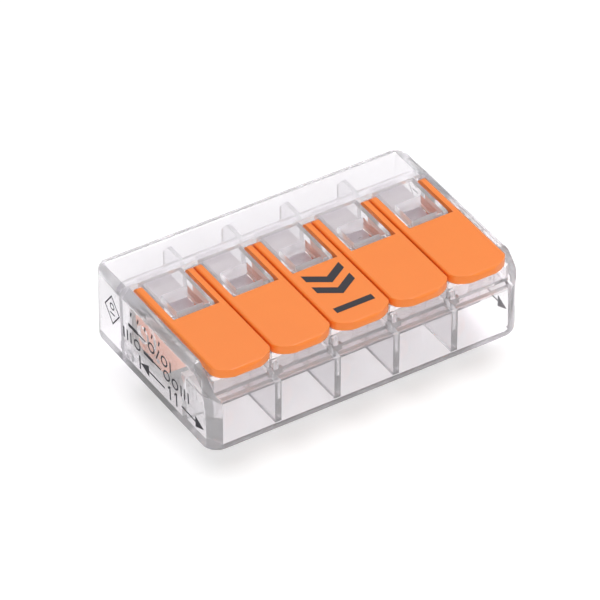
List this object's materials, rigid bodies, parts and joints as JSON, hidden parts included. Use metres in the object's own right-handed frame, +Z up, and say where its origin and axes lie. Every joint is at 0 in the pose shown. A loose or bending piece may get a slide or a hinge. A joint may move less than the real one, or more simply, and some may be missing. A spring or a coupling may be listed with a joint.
{
  "type": "lever wire connector",
  "caption": "Compact wire connector with a clear housing, a row of orange clamping levers and an open wire entry under each lever.",
  "frame": {"origin": "centre of the underside", "axes": "+X along the row of poles, -Y the side where the wires enter, +Z up through the levers"},
  "size_m": [0.0298, 0.0186, 0.008],
  "materials": {
    "clear_housing": "clear moulded polycarbonate, polished",
    "clear_cover": "clear moulded polycarbonate, lightly hazy",
    "orange_lever": "orange moulded plastic, satin",
    "tinned_copper": "tin-plated copper strip",
    "spring_steel": "bright rolled stainless spring strip"
  },
  "bodies": {
    "root": {"housing": "clear_housing", "rear_cover": "clear_cover", "busbar": "tinned_copper", "clamp_spring_1": "spring_steel", "clamp_spring_2": "spring_steel", "clamp_spring_3": "spring_steel", "clamp_spring_4": "spring_steel", "clamp_spring_5": "spring_steel"},
    "lever_1": {"lever_1": "orange_lever"},
    "lever_2": {"lever_2": "orange_lever"},
    "lever_3": {"lever_3": "orange_lever"},
    "lever_4": {"lever_4": "orange_lever"},
    "lever_5": {"lever_5": "orange_lever"},
    "tongue_1": {"clamp_tongue_1": "spring_steel"},
    "tongue_2": {"clamp_tongue_2": "spring_steel"},
    "tongue_3": {"clamp_tongue_3": "spring_steel"},
    "tongue_4": {"clamp_tongue_4": "spring_steel"},
    "tongue_5": {"clamp_tongue_5": "spring_steel"}
  },
  "joints": [
    {"name": "lever_1_hinge", "type": "hinge", "parent": "root", "child": "lever_1", "pos_m": [-0.0112, 0.00155, 0.0051], "axis": [-1, 0, 0], "range_deg": [0, 90]},
    {"name": "lever_2_hinge", "type": "hinge", "parent": "root", "child": "lever_2", "pos_m": [-0.0056, 0.00155, 0.0051], "axis": [-1, 0, 0], "range_deg": [0, 90]},
    {"name": "lever_3_hinge", "type": "hinge", "parent": "root", "child": "lever_3", "pos_m": [0, 0.00155, 0.0051], "axis": [-1, 0, 0], "range_deg": [0, 90]},
    {"name": "lever_4_hinge", "type": "hinge", "parent": "root", "child": "lever_4", "pos_m": [0.0056, 0.00155, 0.0051], "axis": [-1, 0, 0], "range_deg": [0, 90]},
    {"name": "lever_5_hinge", "type": "hinge", "parent": "root", "child": "lever_5", "pos_m": [0.0112, 0.00155, 0.0051], "axis": [-1, 0, 0], "range_deg": [0, 90]},
    {"name": "tongue_1_bend", "type": "hinge", "parent": "root", "child": "tongue_1", "pos_m": [-0.0112, -0.0025, 0.00487], "axis": [1, 0, 0], "range_deg": [0, 36]},
    {"name": "tongue_2_bend", "type": "hinge", "parent": "root", "child": "tongue_2", "pos_m": [-0.0056, -0.0025, 0.00487], "axis": [1, 0, 0], "range_deg": [0, 36]},
    {"name": "tongue_3_bend", "type": "hinge", "parent": "root", "child": "tongue_3", "pos_m": [0, -0.0025, 0.00487], "axis": [1, 0, 0], "range_deg": [0, 36]},
    {"name": "tongue_4_bend", "type": "hinge", "parent": "root", "child": "tongue_4", "pos_m": [0.0056, -0.0025, 0.00487], "axis": [1, 0, 0], "range_deg": [0, 36]},
    {"name": "tongue_5_bend", "type": "hinge", "parent": "root", "child": "tongue_5", "pos_m": [0.0112, -0.0025, 0.00487], "axis": [1, 0, 0], "range_deg": [0, 36]}
  ],
  "couplings": [
    {"joint": "tongue_1_bend", "follows": "lever_1_hinge", "ratio": 0.4},
    {"joint": "tongue_2_bend", "follows": "lever_2_hinge", "ratio": 0.4},
    {"joint": "tongue_3_bend", "follows": "lever_3_hinge", "ratio": 0.4},
    {"joint": "tongue_4_bend", "follows": "lever_4_hinge", "ratio": 0.4},
    {"joint": "tongue_5_bend", "follows": "lever_5_hinge", "ratio": 0.4}
  ]
}
